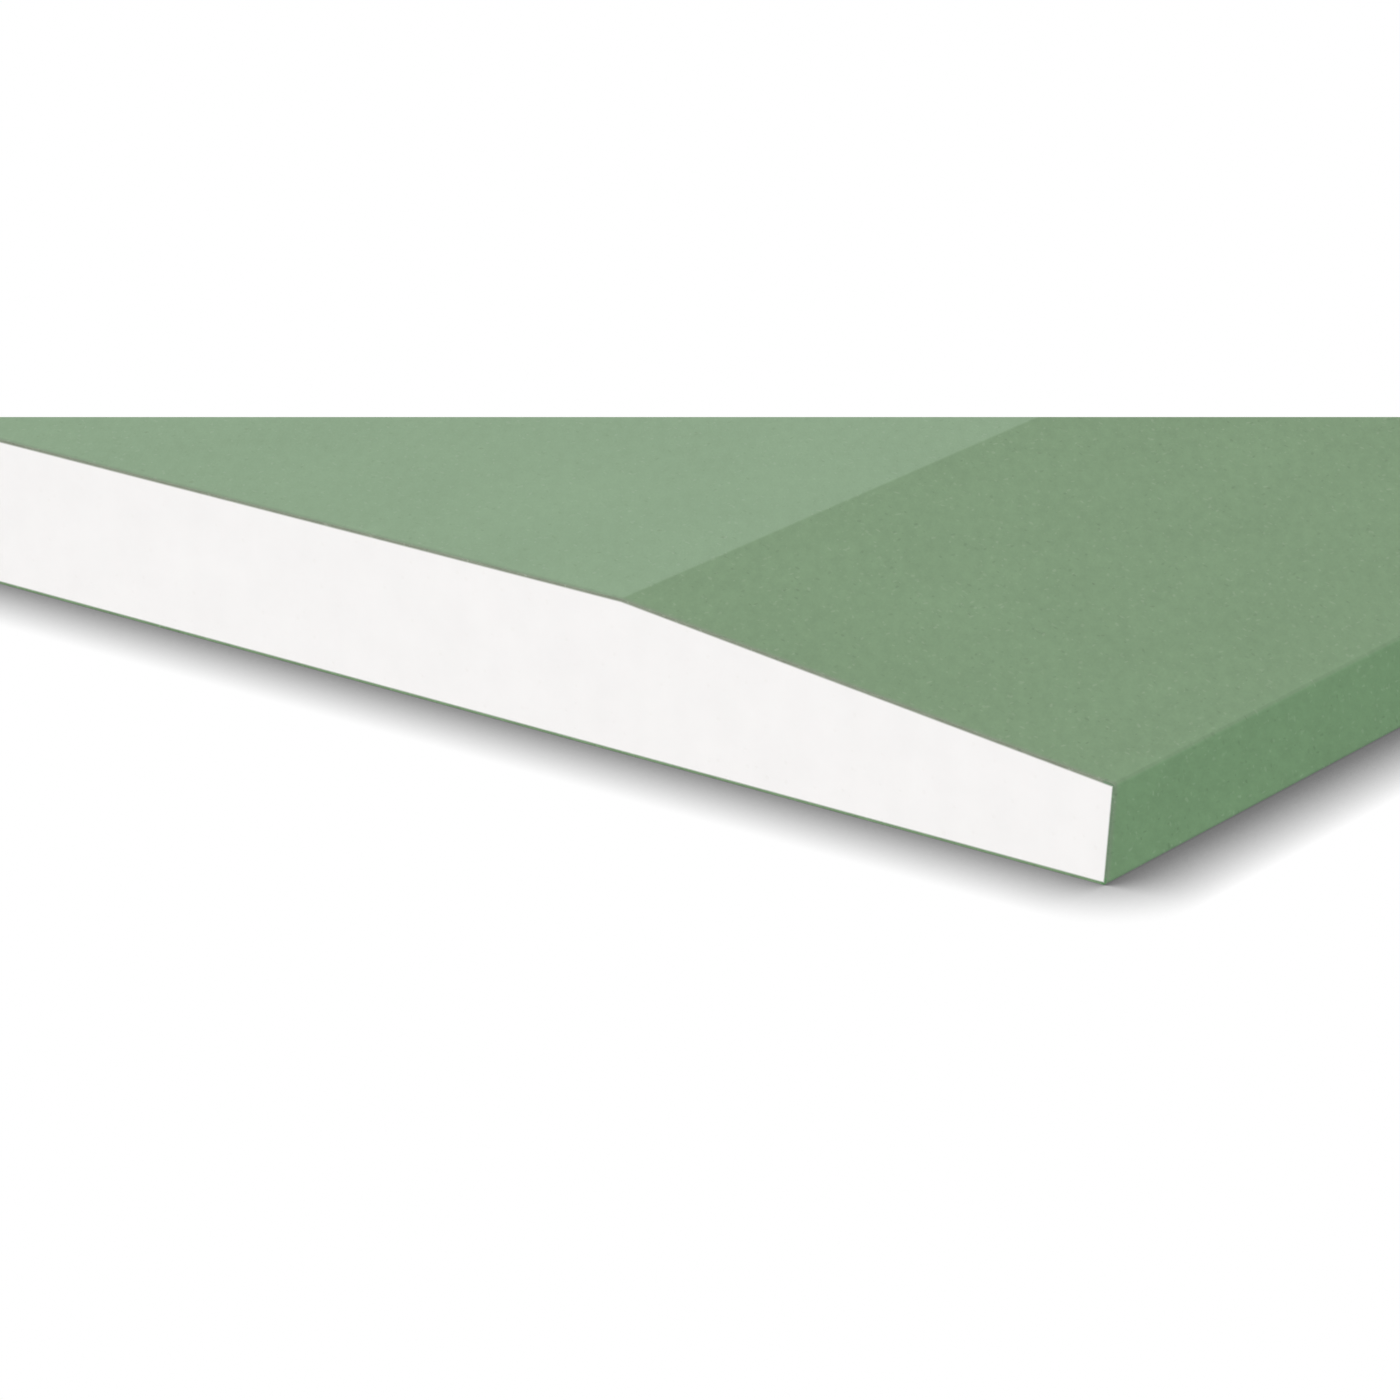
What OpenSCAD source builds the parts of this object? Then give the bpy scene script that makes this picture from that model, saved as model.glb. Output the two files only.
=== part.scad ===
// Tapered-edge drywall sheet: a gypsum core lined with paper, lying face up.
// Length runs along Y, width along X and thickness along Z, from the middle of the underside.

/* [Sheet] */
// Length along the tapered edges, from one cut end to the other
sheet_length = 2400; // [600:10:3600]
// Width across the two tapered edges
sheet_width = 1200; // [400:10:1250]
// Thickness of the flat field between the tapers
sheet_thickness = 12.5; // [9.5:0.5:18]

/* [Tapered edges] */
// Width of each taper, from its crease to the edge
taper_width = 45; // [20:1:80]
// Thickness left at each long edge
edge_thickness = 8; // [5:0.1:12]
// How far the foot of each long edge stands back from its upper arris
edge_lean = 0.6; // [0:0.1:2]

/* [Lining paper] */
// Thickness of the face paper and of the back paper
paper_thickness = 0.3; // [0.2:0.05:0.5]
// Inside radius of the face paper's folds round the long edges
fold_radius = 0.2; // [0.1:0.05:0.5]
// Width of face paper turned in under the sheet, from the foot of the edge
turn_in_width = 20; // [8:1:40]
// Gap along the underside between the turned-in paper and the back paper
seam_gap = 0.2; // [0:0.1:1]

/* [Hidden] */

// A corner that turns more than this is a fold and is rounded
fold_angle = 30;
// Flats in each rounded fold
fold_flats = 6;

half_width = sheet_width / 2;
foot_x = half_width - edge_lean;
turn_in_x = foot_x - turn_in_width;
back_half_width = turn_in_x - seam_gap;

// Outer line of the face paper on the right half: crease, arris, foot, then in underneath
right_line = [
    [half_width - taper_width, sheet_thickness],
    [half_width, edge_thickness],
    [foot_x, 0],
    [turn_in_x, 0],
];
paper_line = concat(mirrored(right_line), right_line);
outer_line = folded(paper_line, fold_radius + paper_thickness);
inner_line = folded(set_in(paper_line, paper_thickness), fold_radius);

// The same line on the other side of the sheet, in reverse order
function mirrored(line) = [for (i = [len(line) - 1:-1:0]) [-line[i][0], line[i][1]]];

function heading(a, b) = (b - a) / norm(b - a);

function right_of(u) = [u[1], -u[0]];

function turned(p, angle) = [
    p[0] * cos(angle) - p[1] * sin(angle),
    p[0] * sin(angle) + p[1] * cos(angle)
];

// Signed turn of the line at b, on the way from a to c
function turn_at(a, b, c) =
    let (u = heading(a, b), v = heading(b, c))
    atan2(cross(u, v), u * v);

// Where corner b comes to lie once both its sides have moved to the right by a depth
function mitred(a, b, c, depth) =
    let (m = right_of(heading(a, b)), n = right_of(heading(b, c)))
    b + depth * (m + n) / (1 + m * n);

// The whole line moved to its right, into the sheet, by a depth
function set_in(line, depth) =
    let (last = len(line) - 1)
    [for (i = [0:last])
        i == 0 ? line[0] + depth * right_of(heading(line[0], line[1]))
        : i == last ? line[last] + depth * right_of(heading(line[last - 1], line[last]))
        : mitred(line[i - 1], line[i], line[i + 1], depth)];

// Corner b drawn as an arc of flats that meets both its sides
function arc_at(a, b, c, radius) =
    let (
        u = heading(a, b),
        turn = turn_at(a, b, c),
        inward = -sign(turn) * right_of(u),
        centre = b - radius * tan(abs(turn) / 2) * u + radius * inward
    )
    [for (k = [0:fold_flats]) centre - turned(radius * inward, turn * k / fold_flats)];

// A line with its folds rounded and its ends and shallow corners kept
function folded(line, radius) =
    let (last = len(line) - 1)
    [for (i = [0:last])
        let (is_end = i == 0 || i == last)
        let (is_fold = !is_end && abs(turn_at(line[i - 1], line[i], line[i + 1])) > fold_angle)
        each is_fold ? arc_at(line[i - 1], line[i], line[i + 1], radius) : [line[i]]];

// Draws a cross section along the whole length of the sheet
module along_sheet() {
    rotate([90, 0, 0])
        linear_extrude(height = sheet_length, center = true)
            children();
}

// White core: fills the folded face paper and rests on the back paper
module gypsum_core() {
    color("#F7F5F3")
        along_sheet()
            polygon(inner_line);
}

// Green face paper: over the field and both tapers, round the long edges and in under the sheet
module face_paper() {
    inside = [for (i = [len(inner_line) - 1:-1:0]) inner_line[i]];
    color("#8EA78A")
        along_sheet()
            polygon(concat(outer_line, inside));
}

// Back paper: one flat strip under the core, between the turned-in sides of the face paper
module back_paper() {
    color("#7E8A78")
        along_sheet()
            translate([-back_half_width, 0])
                square([2 * back_half_width, paper_thickness]);
}

gypsum_core();
face_paper();
back_paper();
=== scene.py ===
# A tapered-edge drywall sheet lying face up: green face paper folded round a white gypsum core,
# with a second paper over the back. Lengths are metres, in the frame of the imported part.
import math

import bmesh
import bpy
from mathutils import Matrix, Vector


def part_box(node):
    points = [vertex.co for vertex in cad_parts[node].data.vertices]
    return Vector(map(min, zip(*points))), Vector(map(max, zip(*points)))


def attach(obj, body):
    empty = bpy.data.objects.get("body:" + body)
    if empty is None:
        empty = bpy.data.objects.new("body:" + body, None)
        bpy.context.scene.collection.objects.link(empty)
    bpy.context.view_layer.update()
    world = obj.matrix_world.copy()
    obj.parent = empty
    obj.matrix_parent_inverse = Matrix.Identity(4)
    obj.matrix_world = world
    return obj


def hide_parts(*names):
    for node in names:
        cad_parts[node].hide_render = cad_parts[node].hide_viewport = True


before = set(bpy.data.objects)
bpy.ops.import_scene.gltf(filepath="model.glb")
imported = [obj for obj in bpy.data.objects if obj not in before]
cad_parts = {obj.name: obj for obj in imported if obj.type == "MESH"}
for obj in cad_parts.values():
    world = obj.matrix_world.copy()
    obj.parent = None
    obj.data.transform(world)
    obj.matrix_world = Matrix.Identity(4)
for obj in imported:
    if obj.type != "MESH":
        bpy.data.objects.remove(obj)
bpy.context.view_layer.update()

# The sheet, read from the frame
paper_low, paper_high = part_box("face_paper")
back_low, back_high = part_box("back_paper")
SHEET_LENGTH = paper_high.y - paper_low.y
SHEET_THICKNESS = paper_high.z - paper_low.z
PAPER_THICKNESS = back_high.z - back_low.z
BACK_EDGE_X = back_high.x
END_Y = SHEET_LENGTH / 2

# The folded face paper, on the right half of the sheet; the back paper closes the seam but for a hair
HALF_WIDTH = 0.600
TAPER_WIDTH = 0.045
EDGE_THICKNESS = 0.008
EDGE_LEAN = 0.0006
FOLD_RADIUS = 0.00035
SEAM_GAP = 0.0002
CLOSED_SEAM = 0.00001
CREASE_X = HALF_WIDTH - TAPER_WIDTH
FOOT_X = HALF_WIDTH - EDGE_LEAN
TURN_IN_X = BACK_EDGE_X + SEAM_GAP

# How the edges are softened, and how near counts as touching
CREASE_SOFTNESS = 0.00015
CUT_ROUNDING = 0.00006
FOLD_SEGMENTS = 8
SOFT_SEGMENTS = 2
SMOOTH_ANGLE = math.radians(35)
FLAT_ANGLE = math.radians(0.1)
TOUCHING = 1e-6

# Linear colours of the papers
GREEN_PAPER = (0.273, 0.393, 0.257)
GREY_PAPER = (0.230, 0.262, 0.212)
CUT_PAPER = (0.258, 0.298, 0.226)

# How the paper's colour is tinted, and how far the tints reach: painted shade on the taper, the upright
# edge, the foot and the cut paper beside the edge, a painted highlight along the arris, and handling,
# dust and plies at the cut ends
# Painted shade: the taper drawn darker than the field, as light falls on its slope
TAPER_PAINTED_SHADE = (0.825, 0.858, 0.792)
# Painted shade: the upright edge drawn darker and greener than the face
EDGE_PAINTED_SHADE = (0.840, 0.960, 0.868)
# Painted highlight: a paler band along the arris, against the shade on the fold's rounding
ARRIS_PAINTED_HIGHLIGHT = (1.02, 1.03, 1.03)
# Painted shade: the paper darker near the floor, at the foot of the edge
FOOT_PAINTED_SHADE = (0.82, 0.76, 0.87)
HANDLED_TINT = (0.900, 0.830, 0.880)
DUSTED_TINT = (1.20, 1.12, 1.22)
# Painted shade: the cut paper beside the upright edge drawn as dark as that shaded edge
SIDE_CUT_PAINTED_SHADE = (0.67, 0.87, 0.74)
LOW_CUT_TINT = (0.78, 1.06, 0.79)
PLY_TINT = (0.86, 0.85, 0.84)
CREASE_BLUR = 0.0002
FOLD_BLUR = 0.00027
# Width and height of the painted highlight along the arris
ARRIS_HIGHLIGHT_WIDTH = 0.00025
ARRIS_HIGHLIGHT_HEIGHT = EDGE_THICKNESS - ARRIS_HIGHLIGHT_WIDTH / 4
# How high the painted shade at the foot reaches
FOOT_SHADE_REACH = 0.0005
HANDLED_REACH = 0.0006
DUST_DEPTH = 0.00016
DUST_SHARE = 0.8

# How strongly the grain shows, with 1 on the flat field; its fibres fade out at the last of these
PRESSED_CONTRAST = 1.3
FOLDED_CONTRAST = 1.45
ROUGH_CONTRAST = 1.5
FIBRELESS_CONTRAST = 0.5

# The grain of the paper: sizes across the roll and along it, and turns away from that direction
FELT_SIZE = (0.00024, 0.0006)
MOTTLE_SIZE = (0.0009, 0.0022)
STRAND_SIZE = (0.0002, 0.0018)
CLOUD_SIZE = (0.009, 0.014)
PATCH_SIZE = (0.06, 0.11)
BAND_SIZE = (0.10, 3.0)
PLY_SIZE = (0.004, 0.00007)
FELT_TURN = math.radians(36)
STRAND_TURN = math.radians(12)
CROSS_STRAND_TURN = math.radians(-58)
FINE_DETAIL = 3
PLAIN_DETAIL = 2

# How much each part of the grain shades the paper
FELT_SHADE = 0.08
MOTTLE_SHADE = 0.11
STRAND_SHADE = 0.04
CLOUD_SHADE = 0.07
PATCH_SHADE = 0.04
BAND_SHADE = 0.05

# Fibres and flecks: a share of the places, one each spacing, hold a spot; its reach is in spacings
FIBRE_SPACING = (0.0008, 0.0018)
FIBRE_REACH = 0.15
FIBRE_SHARE = 0.25
FIBRE_BEND = 0.0007
BEND_SIZE = (0.0024, 0.0024)
PALE_FIBRE_TURNS = (0, 20, 37, 54, 74)
DARK_FIBRE_TURNS = (15, 59)
PALE_FIBRE_STRENGTH = 0.20
DARK_FIBRE_STRENGTH = 0.26
FLECK_SPACING = (0.006, 0.007)
FLECK_REACH = 0.03
FLECK_SHARE = 0.4
FLECK_STRENGTH = 0.25
SPOT_CORE = 0.4
PALE_PULP = (0.62, 0.68, 0.58)
DARK_PULP = (0.10, 0.14, 0.09)
BROWN_FLECK = (0.11, 0.10, 0.07)

# The relief and gloss of the paper
PAPER_RELIEF = 0.000025
FELT_HEIGHT = 0.4
MOTTLE_HEIGHT = 0.5
STRAND_HEIGHT = 0.25
CROSS_STRAND_HEIGHT = 0.2
FIBRE_HEIGHT = 0.2
PLY_HEIGHT = 0.8
PAPER_ROUGHNESS = (0.86, 0.97)
PAPER_SPECULAR = 0.12
DUSTY_SPECULAR = 0.1

# Noise values: where most of them lie, where pale plies turn into dark ones, and their middle
NOISE_SPAN = (0.25, 0.75)
PLY_SPAN = (0.35, 0.65)
NOISE_MIDDLE = 0.5

# The set gypsum
WHITE_GYPSUM = (0.915, 0.900, 0.892)
GYPSUM_TONE = 0.967
GYPSUM_CLOUD_SIZE = 0.004
GYPSUM_CLOUD_SHADE = 0.06
GYPSUM_CLOUD_HEIGHT = 0.3
GYPSUM_GRAIN_SIZE = 0.0005
GYPSUM_GRAIN_SHADE = 0.006
GYPSUM_GRAIN_HEIGHT = 0.4
PORE_SPACING = 0.0009
PORE_REACH = 0.25
PORE_RIM = 0.1
PORE_DEPTH = 0.8
# Painted shade: the pores a little darker than the gypsum around them
PORE_PAINTED_SHADE = (0.985, 0.984, 0.980)
GYPSUM_RELIEF = 0.000012
GYPSUM_ROUGHNESS = (0.88, 0.98)

# The picture: where the near corner of the sheet stands in it, and from where it is seen
PICTURE_SIZE = 1400
PICTURE_TOP_ROW = 417
CORNER_PIXEL = (1113.1, 887.8)
CORNER_DISTANCE = 0.49326
CAMERA_AZIMUTH = math.radians(37.19)
CAMERA_ELEVATION = math.radians(20.454)
CAMERA_LENS = 175.35
CAMERA_CLIP = (0.001, 100)
SENSOR_WIDTH = 36.0

# The card that ends the picture: how far off it is, how high it reaches and how wide, in picture widths
CARD_DISTANCE = 0.004
CARD_TOP = 0.6
CARD_WIDTH = 1.2

# The light: a level of 1 shows a colour as it is written
WORLD_LEVEL = 0.60
KEY_TOWARDS = (-3.0, -0.2, 1.0)
KEY_LEVEL = 0.775
KEY_SPREAD = 64
FILL_TOWARDS = (0.335, -0.44, 0.08)
FILL_LEVEL = 0.56
FILL_SPREAD = 30

# The floor and the shadow on it
FLOOR_CORNERS = 3
FLOOR_REACH = 150
FLOOR_GLOW = 0.52
SHADOW_LEAN = (-0.41, 0.23, 1.0)
SHADOW_REACH = 0.00745
SHADOW_DEPTH = 1.224
SHADOW_SOFTNESS = 0.91
SHADOW_DARKEST = 0.16
SHADOW_SAMPLES = 16


# Hand tools

def add_flat_sheet(name, low, high, height):
    """A flat rectangle between two corners at a height, open in edit mode."""
    bpy.ops.object.select_all(action="DESELECT")
    centre = ((low[0] + high[0]) / 2, (low[1] + high[1]) / 2, height)
    bpy.ops.mesh.primitive_plane_add(size=1, location=centre)
    piece = bpy.context.object
    piece.name = name
    piece.data.name = name
    bpy.ops.object.mode_set(mode="EDIT")
    bpy.ops.transform.resize(value=(high[0] - low[0], high[1] - low[1], 1))
    bpy.ops.object.mode_set(mode="OBJECT")
    bpy.ops.object.transform_apply(location=True, rotation=True, scale=True)
    bpy.ops.object.mode_set(mode="EDIT")
    return piece


def take_up(piece, mode):
    """Selects one piece alone, in a mode."""
    bpy.ops.object.mode_set(mode="OBJECT")
    bpy.ops.object.select_all(action="DESELECT")
    piece.select_set(True)
    bpy.context.view_layer.objects.active = piece
    bpy.ops.object.mode_set(mode=mode)


def select_edges(piece, wanted):
    """Selects the edges for which wanted(edge) holds, and nothing else."""
    bpy.ops.mesh.select_mode(type="EDGE")
    bpy.ops.mesh.select_all(action="DESELECT")
    mesh = bmesh.from_edit_mesh(piece.data)
    for edge in mesh.edges:
        edge.select_set(bool(wanted(edge)))
    mesh.select_flush_mode()
    bmesh.update_edit_mesh(piece.data)


def select_faces(piece, wanted):
    """Selects the faces for which wanted(face) holds, and nothing else."""
    bpy.ops.mesh.select_mode(type="FACE")
    bpy.ops.mesh.select_all(action="DESELECT")
    mesh = bmesh.from_edit_mesh(piece.data)
    for face in mesh.faces:
        face.select_set(bool(wanted(face)))
    mesh.select_flush_mode()
    bmesh.update_edit_mesh(piece.data)


def lies_at(edge, x=None, y=None, z=None):
    """True where both ends of an edge have the given coordinates."""
    asked = [(i, value) for i, value in enumerate((x, y, z)) if value is not None]
    return all(abs(v.co[i] - value) < TOUCHING for v in edge.verts for i, value in asked)


def extrude(*steps):
    """Extrudes what is selected, one step after another."""
    for step in steps:
        bpy.ops.mesh.extrude_region_move(TRANSFORM_OT_translate={"value": step})


def soften(piece, wanted, reach, segments):
    """Rounds the wanted edges, reaching so far into the faces beside them."""
    select_edges(piece, wanted)
    bpy.ops.mesh.bevel(offset_type="OFFSET", offset=reach, segments=segments, affect="EDGES")


def apply_modifier(piece, kind, **settings):
    """Adds a modifier with its settings to the active piece and applies it, in object mode."""
    bpy.ops.object.mode_set(mode="OBJECT")
    modifier = piece.modifiers.new(kind.lower(), kind)
    for name, value in settings.items():
        setattr(modifier, name, value)
    bpy.ops.object.modifier_apply(modifier=modifier.name)


def fold_reach(before, after):
    """How far a fold's rounding reaches from its corner, between two directions of travel."""
    turn = before.angle(after)
    return FOLD_RADIUS * math.tan(turn / 2)


def finish_piece(piece, node, slot, *materials):
    """Smooths a piece, gives it its materials and puts it in place of its CAD node."""
    take_up(piece, "OBJECT")
    bpy.ops.object.shade_smooth_by_angle(angle=SMOOTH_ANGLE)
    apply_modifier(piece, "WEIGHTED_NORMAL", keep_sharp=True)
    for index, material in enumerate(materials):
        piece.material_slots[index].material = material
    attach(piece, "root")
    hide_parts(node)


# The pieces

OUTSIDE, GLUED, CUT = range(3)


def add_paper_slots(piece):
    """Three material slots: the outside of the paper, its glued side and its cut edges."""
    for _ in (OUTSIDE, GLUED, CUT):
        piece.data.materials.append(None)


def thicken_paper(piece):
    """Gives a sheet the paper's thickness, inwards from its outside."""
    apply_modifier(
        piece,
        "SOLIDIFY",
        thickness=PAPER_THICKNESS,
        offset=-1,
        use_even_offset=True,
        material_offset=GLUED,
        material_offset_rim=CUT,
    )
    bpy.ops.object.mode_set(mode="EDIT")


def is_cut_outline(edge):
    """True where the outside of the paper meets one of its cut edges."""
    return {face.material_index for face in edge.link_faces} == {OUTSIDE, CUT}


def round_cut_edges(piece):
    """Takes the sharpness off the outer line of the paper's cut edges."""
    take_up(piece, "EDIT")
    soften(piece, is_cut_outline, CUT_ROUNDING, SOFT_SEGMENTS)
    bpy.ops.object.mode_set(mode="OBJECT")


def model_face_paper():
    """One strip of paper over field and tapers, folded round the long edges and turned in below."""
    piece = add_flat_sheet("green_face_paper", (0, -END_Y), (CREASE_X, END_Y), SHEET_THICKNESS)
    down_taper = Vector((TAPER_WIDTH, 0, EDGE_THICKNESS - SHEET_THICKNESS))
    down_edge = Vector((-EDGE_LEAN, 0, -EDGE_THICKNESS))
    turn_in = Vector((TURN_IN_X - FOOT_X, 0, 0))
    select_edges(piece, lambda e: lies_at(e, x=CREASE_X))
    extrude(down_taper, down_edge, turn_in)
    arris_reach = fold_reach(down_taper, down_edge)
    foot_reach = fold_reach(down_edge, turn_in)
    soften(piece, lambda e: lies_at(e, x=HALF_WIDTH), arris_reach, FOLD_SEGMENTS)
    soften(piece, lambda e: lies_at(e, x=FOOT_X, z=0), foot_reach, FOLD_SEGMENTS)
    soften(piece, lambda e: lies_at(e, x=CREASE_X), CREASE_SOFTNESS, SOFT_SEGMENTS)
    apply_modifier(piece, "MIRROR", use_axis=(True, False, False), merge_threshold=TOUCHING)
    bpy.ops.object.mode_set(mode="EDIT")
    bpy.ops.mesh.select_all(action="SELECT")
    bpy.ops.mesh.dissolve_limited(angle_limit=FLAT_ANGLE)
    bpy.ops.mesh.normals_make_consistent(inside=False)
    bpy.ops.object.mode_set(mode="OBJECT")
    add_paper_slots(piece)
    thicken_paper(piece)
    return piece


def is_turned_in_side(edge):
    """True on the two long lines where the turned-in paper ends, on its inner side."""
    return any(lies_at(edge, x=side, z=PAPER_THICKNESS) for side in (-TURN_IN_X, TURN_IN_X))


def model_gypsum_core(face_paper):
    """The core as it set inside the paper: the paper's inner faces, closed below and at the ends."""
    select_faces(face_paper, lambda f: f.material_index == GLUED)
    bpy.ops.mesh.duplicate()
    bpy.ops.mesh.separate(type="SELECTED")
    bpy.ops.object.mode_set(mode="OBJECT")
    piece = next(o for o in bpy.context.selected_objects if o != face_paper)
    piece.name = "gypsum_board_core"
    piece.data.name = piece.name
    piece.data.materials.clear()
    piece.data.materials.append(None)
    take_up(piece, "EDIT")
    select_edges(piece, is_turned_in_side)
    bpy.ops.mesh.bridge_edge_loops()
    for end in (-END_Y, END_Y):
        select_edges(piece, lambda e: lies_at(e, y=end))
        bpy.ops.mesh.edge_face_add()
    bpy.ops.mesh.select_all(action="SELECT")
    bpy.ops.mesh.normals_make_consistent(inside=False)
    return piece


def model_back_paper():
    """The flat paper over the back, between the turned-in sides of the face paper."""
    side_x = TURN_IN_X - CLOSED_SEAM
    piece = add_flat_sheet("grey_back_paper", (-side_x, -END_Y), (side_x, END_Y), 0)
    bpy.ops.mesh.select_all(action="SELECT")
    bpy.ops.mesh.flip_normals()
    bpy.ops.object.mode_set(mode="OBJECT")
    add_paper_slots(piece)
    thicken_paper(piece)
    return piece


# Shader tools

# Where a colour Mix node keeps its sockets
MIX_FACTOR, MIX_FIRST, MIX_SECOND, MIX_RESULT = 0, 6, 7, 2


def put(tree, kind, inputs=None, **settings):
    """Adds a shader node with its settings; its inputs take values or outputs of other nodes."""
    node = tree.nodes.new("ShaderNode" + kind)
    for name, value in settings.items():
        setattr(node, name, value)
    for key, value in (inputs or {}).items():
        if isinstance(value, bpy.types.NodeSocket):
            tree.links.new(value, node.inputs[key])
        else:
            node.inputs[key].default_value = value
    return node


def calc(tree, operation, *terms):
    """One step of arithmetic."""
    return put(tree, "Math", dict(enumerate(terms)), operation=operation).outputs[0]


def fade(tree, value, start, end, low=0, high=1):
    """Goes smoothly from low to high as a value goes from start to end."""
    ends = {"Value": value, "From Min": start, "From Max": end, "To Min": low, "To Max": high}
    return put(tree, "MapRange", ends, interpolation_type="SMOOTHSTEP").outputs["Result"]


def mix(tree, share, first, second, blend="MIX"):
    """Lays a share of the second colour over the first."""
    inputs = {MIX_FACTOR: share, MIX_FIRST: first, MIX_SECOND: second}
    return put(tree, "Mix", inputs, data_type="RGBA", blend_type=blend).outputs[MIX_RESULT]


def tint(tree, share, colour, tone):
    """Multiplies a colour by a tone where share is 1."""
    return mix(tree, share, colour, (*tone, 1), "MULTIPLY")


def scaled(tree, colour, factor):
    """A colour made lighter or darker by a factor."""
    return put(tree, "VectorMath", {0: colour, "Scale": factor}, operation="SCALE").outputs[0]


def flat_place(tree, across, along):
    """A place in a flat pattern."""
    return put(tree, "CombineXYZ", {"X": across, "Y": along}).outputs["Vector"]


def patterned(tree, place, size, turn=0):
    """A place measured in steps of a size, across and along, turned about the vertical."""
    inputs = {"Vector": place, "Rotation": (0, 0, turn), "Scale": (*size, 1)}
    return put(tree, "Mapping", inputs, vector_type="TEXTURE").outputs["Vector"]


def cloudy(tree, place, size, detail=PLAIN_DETAIL, turn=0):
    """Soft random shades, from 0 to 1, of a size across and along."""
    inputs = {"Vector": patterned(tree, place, size, turn), "Scale": 1, "Detail": detail}
    return put(tree, "TexNoise", inputs, noise_dimensions="2D").outputs["Fac"]


def scattered(tree, place, spacing, share, reach, turn=0):
    """A mask of small spots: share of the places hold one, and reach is its mean half size there."""
    inputs = {"Vector": patterned(tree, place, spacing, turn), "Scale": 1}
    spots = put(tree, "TexVoronoi", inputs, voronoi_dimensions="2D")
    lot = put(tree, "SeparateColor", {"Color": spots.outputs["Color"]}).outputs
    kept = calc(tree, "LESS_THAN", lot["Red"], share)
    own_reach = calc(tree, "MULTIPLY_ADD", lot["Blue"], reach, reach / 2)
    core_reach = calc(tree, "MULTIPLY", own_reach, SPOT_CORE)
    body = fade(tree, spots.outputs["Distance"], own_reach, core_reach)
    strength = calc(tree, "MULTIPLY", kept, lot["Green"])
    return calc(tree, "MULTIPLY", body, strength)


def fibres(tree, place, turns):
    """A mask of fibres that lie in several directions."""
    laid = 0
    for turn in turns:
        some = scattered(tree, place, FIBRE_SPACING, FIBRE_SHARE, FIBRE_REACH, math.radians(turn))
        laid = calc(tree, "MAXIMUM", laid, some)
    return laid


def weighed(tree, start, *parts):
    """A start value with so much of each part added to it."""
    total = start
    for value, weight in parts:
        total = calc(tree, "MULTIPLY_ADD", value, weight, total)
    return total


def new_group(name, inputs, outputs):
    """A shader node group with named sockets: its tree, what it is given and what it makes."""
    tree = bpy.data.node_groups.new(name, "ShaderNodeTree")
    for label, kind in inputs.items():
        tree.interface.new_socket(label, in_out="INPUT", socket_type="NodeSocket" + kind)
    for label, kind in outputs.items():
        tree.interface.new_socket(label, in_out="OUTPUT", socket_type="NodeSocket" + kind)
    given = tree.nodes.new("NodeGroupInput").outputs
    made = tree.nodes.new("NodeGroupOutput").inputs
    return tree, given, made


def new_material(name):
    """A material with its node tree and its shader."""
    material = bpy.data.materials.new(name)
    material.use_nodes = True
    return material, material.node_tree, material.node_tree.nodes["Principled BSDF"]


def show_glow(tree, surface):
    """Makes a shader the surface of a material."""
    tree.links.new(surface.outputs[0], tree.nodes["Material Output"].inputs["Surface"])


# Finishes

def curled(tree, place):
    """A place pushed a little this way and that, so that what lies there is curled."""
    inputs = {"Vector": patterned(tree, place, BEND_SIZE), "Scale": 1}
    bend = put(tree, "TexNoise", inputs, noise_dimensions="2D").outputs["Color"]
    middle = [NOISE_MIDDLE] * 3
    aside = put(tree, "VectorMath", {0: bend, 1: middle}, operation="SUBTRACT").outputs[0]
    pushed = {0: aside, 1: [FIBRE_BEND] * 3, 2: place}
    return put(tree, "VectorMath", pushed, operation="MULTIPLY_ADD").outputs[0]


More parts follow.
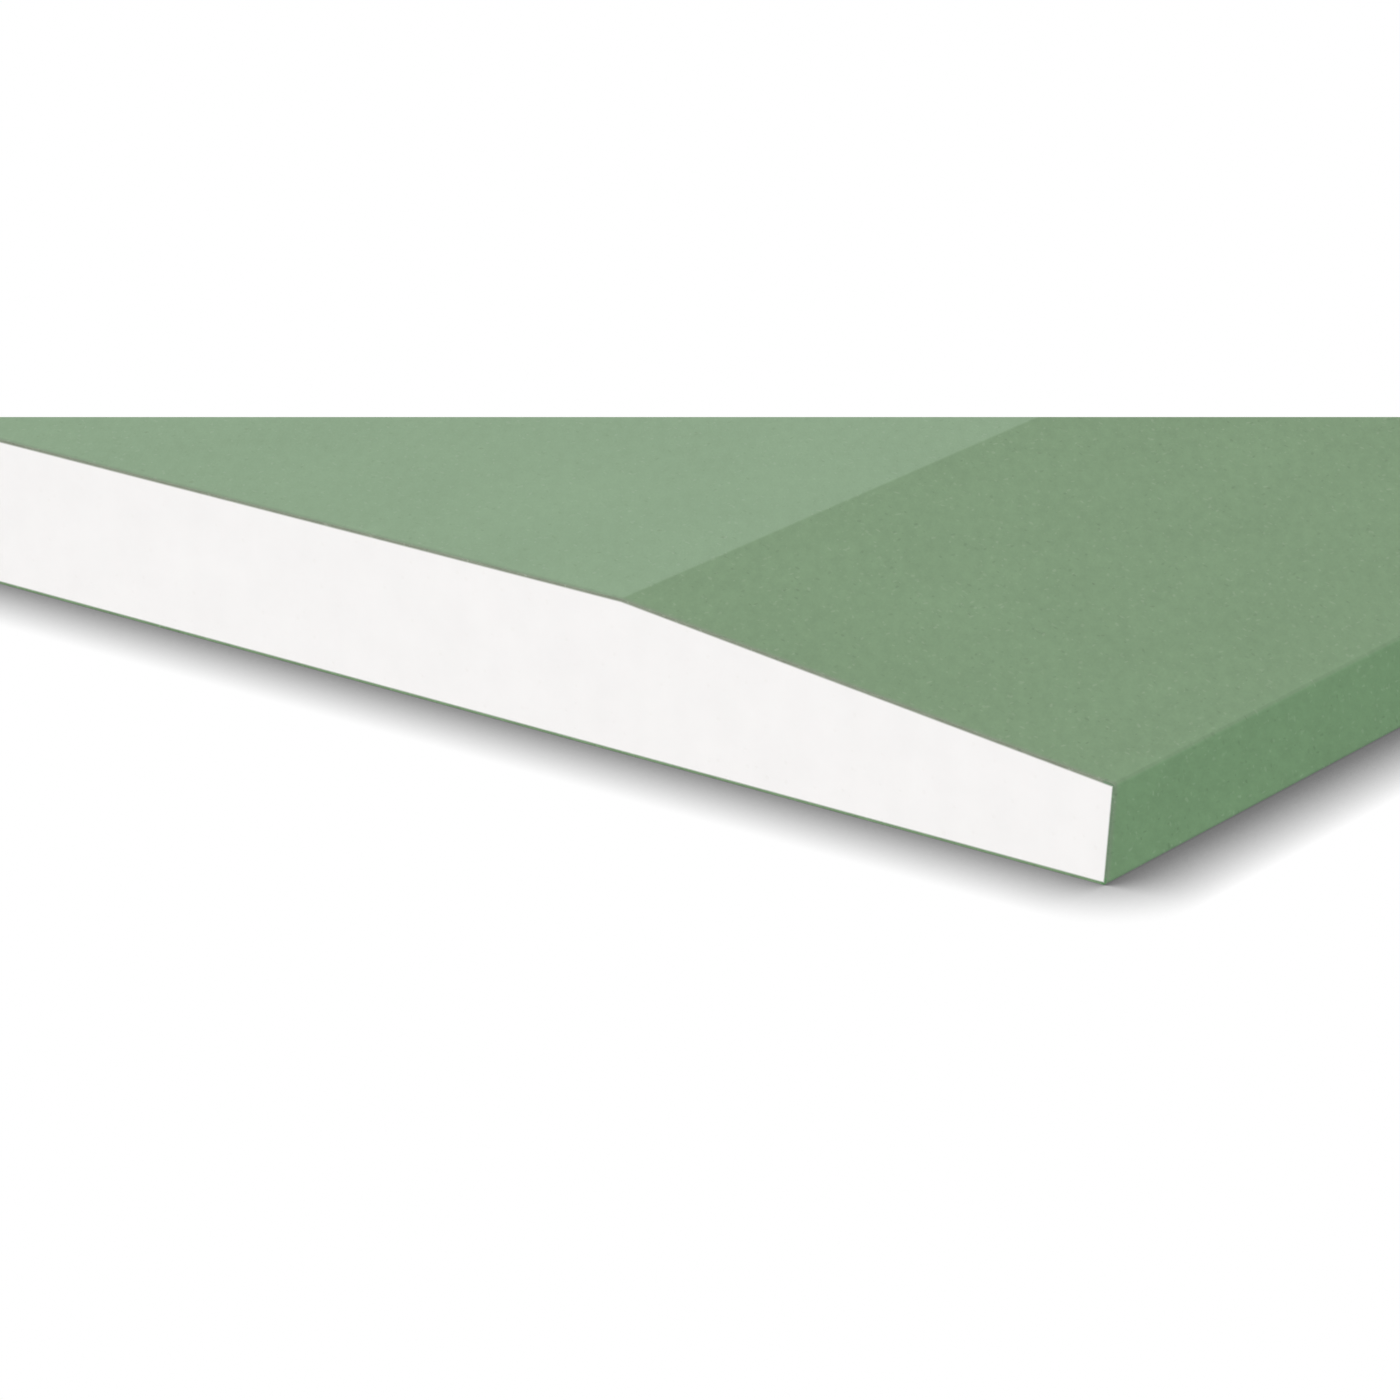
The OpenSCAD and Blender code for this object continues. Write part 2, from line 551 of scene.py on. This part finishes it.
def build_paper_grain():
    """Paper from the roll: felted pulp with pale and dark fibres, a few flecks, clouds and bands."""
    inputs = {"Place": "Vector", "Colour": "Color", "Contrast": "Float"}
    outputs = {"Colour": "Color", "Roughness": "Float", "Height": "Float"}
    tree, given, made = new_group("paper_grain", inputs, outputs)
    place = given["Place"]
    curl = curled(tree, place)
    felt = cloudy(tree, place, FELT_SIZE, FINE_DETAIL, FELT_TURN)
    mottle = cloudy(tree, place, MOTTLE_SIZE, turn=FELT_TURN)
    strands = cloudy(tree, curl, STRAND_SIZE, turn=STRAND_TURN)
    cross_strands = cloudy(tree, curl, STRAND_SIZE, turn=CROSS_STRAND_TURN)
    shades = (
        (felt, FELT_SHADE),
        (mottle, MOTTLE_SHADE),
        (strands, STRAND_SHADE),
        (cross_strands, STRAND_SHADE),
        (cloudy(tree, place, CLOUD_SIZE), CLOUD_SHADE),
        (cloudy(tree, place, PATCH_SIZE, FINE_DETAIL), PATCH_SHADE),
        (cloudy(tree, place, BAND_SIZE), BAND_SHADE),
    )
    mean_shade = NOISE_MIDDLE * sum(weight for _, weight in shades)
    shade = weighed(tree, -mean_shade, *shades)
    tone = calc(tree, "MULTIPLY_ADD", shade, given["Contrast"], 1)
    colour = scaled(tree, given["Colour"], tone)
    pale = fibres(tree, curl, PALE_FIBRE_TURNS)
    dark = fibres(tree, curl, DARK_FIBRE_TURNS)
    flecks = scattered(tree, place, FLECK_SPACING, FLECK_SHARE, FLECK_REACH)
    shown = calc(tree, "SUBTRACT", given["Contrast"], FIBRELESS_CONTRAST)
    pale_shown = calc(tree, "MULTIPLY", shown, PALE_FIBRE_STRENGTH)
    dark_shown = calc(tree, "MULTIPLY", shown, DARK_FIBRE_STRENGTH)
    colour = mix(tree, calc(tree, "MULTIPLY", pale, pale_shown), colour, (*PALE_PULP, 1))
    colour = mix(tree, calc(tree, "MULTIPLY", dark, dark_shown), colour, (*DARK_PULP, 1))
    colour = mix(tree, calc(tree, "MULTIPLY", flecks, FLECK_STRENGTH), colour, (*BROWN_FLECK, 1))
    heights = (
        (felt, FELT_HEIGHT),
        (mottle, MOTTLE_HEIGHT),
        (strands, STRAND_HEIGHT),
        (cross_strands, CROSS_STRAND_HEIGHT),
        (pale, FIBRE_HEIGHT),
        (dark, -FIBRE_HEIGHT),
    )
    tree.links.new(colour, made["Colour"])
    tree.links.new(fade(tree, felt, *NOISE_SPAN, *PAPER_ROUGHNESS), made["Roughness"])
    tree.links.new(weighed(tree, 0, *heights), made["Height"])
    return tree


def place_on_sheet(tree):
    """A point's place on the part: across, along and up."""
    place = put(tree, "TexCoord").outputs["Object"]
    return put(tree, "SeparateXYZ", {"Vector": place}).outputs


def on_folded_paper(tree, x, y, z):
    """A point's place in the paper's pattern, which turns back on itself at the arris."""
    below = calc(tree, "MINIMUM", calc(tree, "SUBTRACT", z, EDGE_THICKNESS), 0)
    across = calc(tree, "MULTIPLY_ADD", calc(tree, "SIGN", x), below, x)
    return flat_place(tree, across, y)


def use_grain(tree, grain, place, colour, contrast):
    """Places the paper grain in a material with its own colour and contrast."""
    inputs = {"Place": place, "Colour": (*colour, 1), "Contrast": contrast}
    return put(tree, "Group", inputs, node_tree=grain).outputs


def dress(tree, shader, colour, roughness, height, relief, specular):
    """Wires a finish into the shader, with its relief as a bump."""
    bump = put(tree, "Bump", {"Height": height, "Distance": relief, "Strength": 1})
    tree.links.new(colour, shader.inputs["Base Color"])
    tree.links.new(roughness, shader.inputs["Roughness"])
    tree.links.new(bump.outputs["Normal"], shader.inputs["Normal"])
    shader.inputs["Specular IOR Level"].default_value = specular


def green_paper(grain):
    """Face paper: painted shade on the taper and the upright edge, a painted highlight along the arris,
    painted shade at the foot.
    """
    material, tree, shader = new_material("green_paper")
    x, y, z = place_on_sheet(tree)
    side = calc(tree, "ABSOLUTE", x)
    on_taper = fade(tree, side, CREASE_X - CREASE_BLUR, CREASE_X + CREASE_BLUR)
    folded = fade(tree, z, EDGE_THICKNESS, EDGE_THICKNESS - FOLD_BLUR)
    lit_arris = fade(tree, calc(tree, "ABSOLUTE", calc(tree, "SUBTRACT", z, ARRIS_HIGHLIGHT_HEIGHT)), ARRIS_HIGHLIGHT_WIDTH, 0)
    near_floor = fade(tree, z, FOOT_SHADE_REACH, 0)
    handled = fade(tree, calc(tree, "ABSOLUTE", y), END_Y - HANDLED_REACH, END_Y)
    dusted = calc(tree, "MULTIPLY", handled, on_taper)
    flat_contrast = fade(tree, on_taper, 0, 1, 1, PRESSED_CONTRAST)
    contrast = fade(tree, folded, 0, 1, flat_contrast, FOLDED_CONTRAST)
    paper = use_grain(tree, grain, on_folded_paper(tree, x, y, z), GREEN_PAPER, contrast)
    # Painted shade: the taper darker than the field
    colour = tint(tree, on_taper, paper["Colour"], TAPER_PAINTED_SHADE)
    # Painted shade: the upright edge darker and greener than the face
    colour = tint(tree, folded, colour, EDGE_PAINTED_SHADE)
    # Painted highlight: a paler band along the arris
    colour = tint(tree, lit_arris, colour, ARRIS_PAINTED_HIGHLIGHT)
    # Painted shade: darker near the floor, at the foot of the edge
    colour = tint(tree, near_floor, colour, FOOT_PAINTED_SHADE)
    colour = tint(tree, handled, colour, HANDLED_TINT)
    colour = tint(tree, dusted, colour, DUSTED_TINT)
    dress(tree, shader, colour, paper["Roughness"], paper["Height"], PAPER_RELIEF, PAPER_SPECULAR)
    return material


def grey_paper(grain):
    """Back paper and the glued sides: unbleached grey, with a stronger grain than the face."""
    material, tree, shader = new_material("grey_paper")
    x, y, _ = place_on_sheet(tree)
    paper = use_grain(tree, grain, flat_place(tree, x, y), GREY_PAPER, ROUGH_CONTRAST)
    colour = paper["Colour"]
    dress(tree, shader, colour, paper["Roughness"], paper["Height"], PAPER_RELIEF, PAPER_SPECULAR)
    return material


def depth_in_sheet(tree, x, z):
    """How far a point of a cut end lies in from the outside of the sheet."""
    side = calc(tree, "ABSOLUTE", x)
    past_crease = calc(tree, "MAXIMUM", calc(tree, "SUBTRACT", side, CREASE_X), 0)
    fall = (EDGE_THICKNESS - SHEET_THICKNESS) / TAPER_WIDTH
    top = calc(tree, "MULTIPLY_ADD", past_crease, fall, SHEET_THICKNESS)
    edge = calc(tree, "MULTIPLY_ADD", z, EDGE_LEAN / EDGE_THICKNESS, FOOT_X)
    below_top = calc(tree, "SUBTRACT", top, z)
    behind_edge = calc(tree, "SUBTRACT", edge, side)
    return calc(tree, "MINIMUM", z, calc(tree, "MINIMUM", below_top, behind_edge))


def cut_paper(grain):
    """The cut edge of the paper: fine streaks of its plies, gypsum dust on the inner ones, and painted
    shade where it lies beside the upright edge.
    """
    material, tree, shader = new_material("cut_paper")
    x, _, z = place_on_sheet(tree)
    place = flat_place(tree, x, z)
    paper = use_grain(tree, grain, place, CUT_PAPER, ROUGH_CONTRAST)
    plies = cloudy(tree, place, PLY_SIZE)
    low = calc(tree, "LESS_THAN", z, 2 * PAPER_THICKNESS)
    side_start = FOOT_X - 2 * PAPER_THICKNESS
    side = fade(tree, calc(tree, "ABSOLUTE", x), side_start, side_start + PAPER_THICKNESS)
    depth = depth_in_sheet(tree, x, z)
    dusty = fade(tree, depth, DUST_DEPTH, PAPER_THICKNESS, 0, DUST_SHARE)
    colour = tint(tree, fade(tree, plies, *PLY_SPAN), paper["Colour"], PLY_TINT)
    colour = tint(tree, low, colour, LOW_CUT_TINT)
    # Painted shade: the cut paper beside the upright edge as dark as that edge
    colour = tint(tree, side, colour, SIDE_CUT_PAINTED_SHADE)
    colour = mix(tree, dusty, colour, (*WHITE_GYPSUM, 1))
    height = weighed(tree, paper["Height"], (plies, PLY_HEIGHT))
    dress(tree, shader, colour, paper["Roughness"], height, PAPER_RELIEF, DUSTY_SPECULAR)
    return material


def white_gypsum():
    """Set gypsum, cut clean: faint clouds, a fine crystal grain and small open pores, drawn a little
    darker as painted shade.
    """
    material, tree, shader = new_material("white_gypsum")
    place = put(tree, "TexCoord").outputs["Object"]
    cloud = {"Vector": place, "Scale": 1 / GYPSUM_CLOUD_SIZE, "Detail": FINE_DETAIL}
    grain = {"Vector": place, "Scale": 1 / GYPSUM_GRAIN_SIZE, "Detail": PLAIN_DETAIL}
    clouds = put(tree, "TexNoise", cloud).outputs["Fac"]
    crystals = put(tree, "TexNoise", grain).outputs["Fac"]
    cells = put(tree, "TexVoronoi", {"Vector": place, "Scale": 1 / PORE_SPACING}).outputs
    lot = put(tree, "SeparateColor", {"Color": cells["Color"]}).outputs
    reach = calc(tree, "MULTIPLY", lot["Red"], PORE_REACH)
    pores = fade(tree, calc(tree, "SUBTRACT", cells["Distance"], reach), 0, -PORE_RIM)
    tone = weighed(tree, GYPSUM_TONE, (clouds, GYPSUM_CLOUD_SHADE), (crystals, GYPSUM_GRAIN_SHADE))
    # Painted shade: the pores a little darker
    colour = tint(tree, pores, scaled(tree, WHITE_GYPSUM, tone), PORE_PAINTED_SHADE)
    roughness = fade(tree, crystals, *NOISE_SPAN, *GYPSUM_ROUGHNESS)
    heights = ((crystals, GYPSUM_GRAIN_HEIGHT), (clouds, GYPSUM_CLOUD_HEIGHT), (pores, -PORE_DEPTH))
    height = weighed(tree, 0, *heights)
    dress(tree, shader, colour, roughness, height, GYPSUM_RELIEF, DUSTY_SPECULAR)
    return material


# The picture

def camera_axes():
    """The camera's right, up and back directions."""
    right = Vector((math.cos(CAMERA_AZIMUTH), math.sin(CAMERA_AZIMUTH), 0))
    level_back = Vector((math.sin(CAMERA_AZIMUTH), -math.cos(CAMERA_AZIMUTH), 0))
    back = level_back * math.cos(CAMERA_ELEVATION) + Vector((0, 0, math.sin(CAMERA_ELEVATION)))
    return right, back.cross(right), back


def add_camera():
    """A camera that sees the near corner of the sheet at its pixel in the picture."""
    right, up, back = camera_axes()
    focal_pixels = CAMERA_LENS / SENSOR_WIDTH * PICTURE_SIZE
    near_corner = Vector((HALF_WIDTH, -END_Y, 0))
    middle = PICTURE_SIZE / 2
    aside = (CORNER_PIXEL[0] - middle) / focal_pixels * CORNER_DISTANCE
    below = (CORNER_PIXEL[1] - middle) / focal_pixels * CORNER_DISTANCE
    camera = bpy.data.objects.new("camera", bpy.data.cameras.new("camera"))
    camera.location = near_corner - right * aside + up * below + back * CORNER_DISTANCE
    camera.rotation_euler = (math.pi / 2 - CAMERA_ELEVATION, 0, CAMERA_AZIMUTH)
    camera.data.lens = CAMERA_LENS
    camera.data.sensor_width = SENSOR_WIDTH
    camera.data.clip_start, camera.data.clip_end = CAMERA_CLIP
    bpy.context.scene.collection.objects.link(camera)
    bpy.context.scene.camera = camera
    return camera


def add_sun(name, towards, level, spread):
    """A soft far lamp: level is the share of white it gives a surface that faces it."""
    lamp = bpy.data.lights.new(name, "SUN")
    lamp.energy = level * math.pi
    lamp.angle = math.radians(spread)
    sun = bpy.data.objects.new(name, lamp)
    sun.rotation_euler = Vector(towards).to_track_quat("Z", "Y").to_euler()
    bpy.context.scene.collection.objects.link(sun)


def shows_background(tree):
    """A value of 1 on rays that show the background: from the camera, mirrored or through glass."""
    path = put(tree, "LightPath").outputs
    seen = calc(tree, "MAXIMUM", path["Is Camera Ray"], path["Is Glossy Ray"])
    return calc(tree, "MAXIMUM", seen, path["Is Transmission Ray"])


def light_world():
    """An even white sky, which also shows as the white background."""
    world = bpy.data.worlds.new("studio")
    world.use_nodes = True
    bpy.context.scene.world = world
    tree = world.node_tree
    background = tree.nodes["Background"]
    background.inputs["Color"].default_value = (1, 1, 1, 1)
    level = fade(tree, shows_background(tree), 0, 1, WORLD_LEVEL, 1)
    tree.links.new(level, background.inputs["Strength"])


def light_sheet():
    """A wide lamp low on the left, and a narrower one before the cut end."""
    add_sun("key_lamp", KEY_TOWARDS, KEY_LEVEL, KEY_SPREAD)
    add_sun("fill_lamp", FILL_TOWARDS, FILL_LEVEL, FILL_SPREAD)


def contact_shadow(tree):
    """From 1 in the open down to the dark beside the sheet, for soft light from behind on the left."""
    towards = Vector(SHADOW_LEAN).normalized()
    lean = put(tree, "CombineXYZ", dict(enumerate(towards))).outputs[0]
    inputs = {"Distance": SHADOW_REACH, "Normal": lean}
    open_sky = put(tree, "AmbientOcclusion", inputs, samples=SHADOW_SAMPLES).outputs["AO"]
    covered = calc(tree, "SUBTRACT", 1, open_sky)
    depth = calc(tree, "POWER", covered, SHADOW_SOFTNESS)
    left = calc(tree, "MULTIPLY_ADD", depth, -SHADOW_DEPTH, 1)
    return calc(tree, "MAXIMUM", left, SHADOW_DARKEST)


def add_floor():
    """A wide white floor that keeps the sheet's shadow and lights the sheet evenly from below.

    It is one great triangle, so no seam shows in it.
    """
    bpy.ops.object.select_all(action="DESELECT")
    bpy.ops.mesh.primitive_circle_add(
        vertices=FLOOR_CORNERS,
        radius=FLOOR_REACH,
        fill_type="NGON",
        location=(0, 0, 0),
    )
    floor = bpy.context.object
    floor.name = "studio_floor"
    material, tree, shader = new_material("white_floor")
    tree.nodes.remove(shader)
    glow = put(tree, "Emission", {"Strength": FLOOR_GLOW}).outputs[0]
    white = put(tree, "Emission", {"Strength": contact_shadow(tree)}).outputs[0]
    show_glow(tree, put(tree, "MixShader", {0: shows_background(tree), 1: glow, 2: white}))
    floor.data.materials.append(material)


def add_picture_edge(camera):
    """A tiny white card just before the lens: the picture ends at its lower side."""
    size = CARD_DISTANCE * SENSOR_WIDTH / CAMERA_LENS
    top = size * CARD_TOP
    bottom = size * (0.5 - PICTURE_TOP_ROW / PICTURE_SIZE)
    bpy.ops.object.select_all(action="DESELECT")
    bpy.ops.mesh.primitive_plane_add(size=1)
    card = bpy.context.object
    card.name = "picture_edge_card"
    _, up, back = camera_axes()
    card.location = camera.location - back * CARD_DISTANCE + up * (top + bottom) / 2
    card.rotation_euler = camera.rotation_euler
    card.scale = (size * CARD_WIDTH, top - bottom, 1)
    card.visible_diffuse = False
    card.visible_glossy = False
    card.visible_transmission = False
    card.visible_shadow = False
    material, tree, shader = new_material("white_card")
    tree.nodes.remove(shader)
    show_glow(tree, put(tree, "Emission"))
    card.data.materials.append(material)


# The sheet is made, finished and put in its picture

face_paper = model_face_paper()
core = model_gypsum_core(face_paper)
round_cut_edges(face_paper)
back_paper = model_back_paper()
round_cut_edges(back_paper)

paper_grain = build_paper_grain()
green = green_paper(paper_grain)
grey = grey_paper(paper_grain)
cut = cut_paper(paper_grain)
finish_piece(face_paper, "face_paper", "face_paper", green, grey, cut)
finish_piece(core, "gypsum_core", "gypsum", white_gypsum())
finish_piece(back_paper, "back_paper", "back_paper", grey, grey, cut)

camera = add_camera()
light_world()
light_sheet()
add_floor()
add_picture_edge(camera)
bpy.context.scene.view_settings.view_transform = "Standard"
